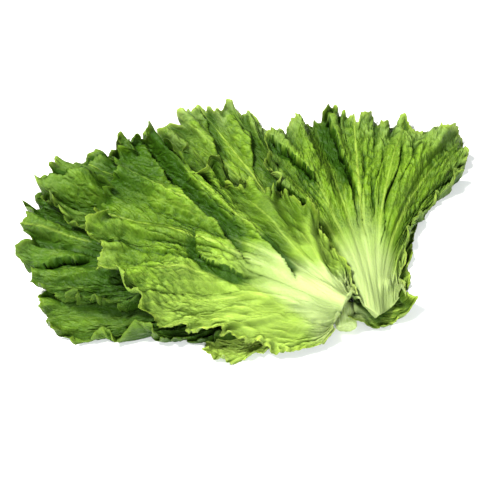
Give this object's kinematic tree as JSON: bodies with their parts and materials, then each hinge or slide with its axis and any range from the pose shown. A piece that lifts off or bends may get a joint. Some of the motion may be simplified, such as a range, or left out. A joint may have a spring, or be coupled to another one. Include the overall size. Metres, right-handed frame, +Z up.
{
  "type": "curly leaf lettuce head",
  "caption": "Head of green curly leaf lettuce lying opened out on a flat surface, with frilled, veined leaves that overlap and fan out from a short cut stem",
  "frame": {"origin": "The middle of the bottom of the head's box, on the surface that it lies on", "axes": "+X runs to the right of someone who faces the cut end of the stem, along the widest spread of the leaves. +Y runs away from them, towards the leaves' far tips. +Z is up"},
  "size_m": [0.3506, 0.2342, 0.0622],
  "materials": {
    "leaf_green": "satin",
    "leaf_yellow_green": "satin",
    "cut_stem": "satin"
  },
  "bodies": {
    "root": {"leaf_front_low": "leaf_yellow_green", "leaf_left_low": "leaf_green", "leaf_back": "leaf_green", "leaf_right_low": "leaf_yellow_green", "leaf_left_outer": "leaf_green", "leaf_left_middle": "leaf_green", "leaf_heart": "leaf_yellow_green", "leaf_right_top": "leaf_green", "leaf_left_top": "leaf_green", "stem": "cut_stem"}
  },
  "joints": []
}
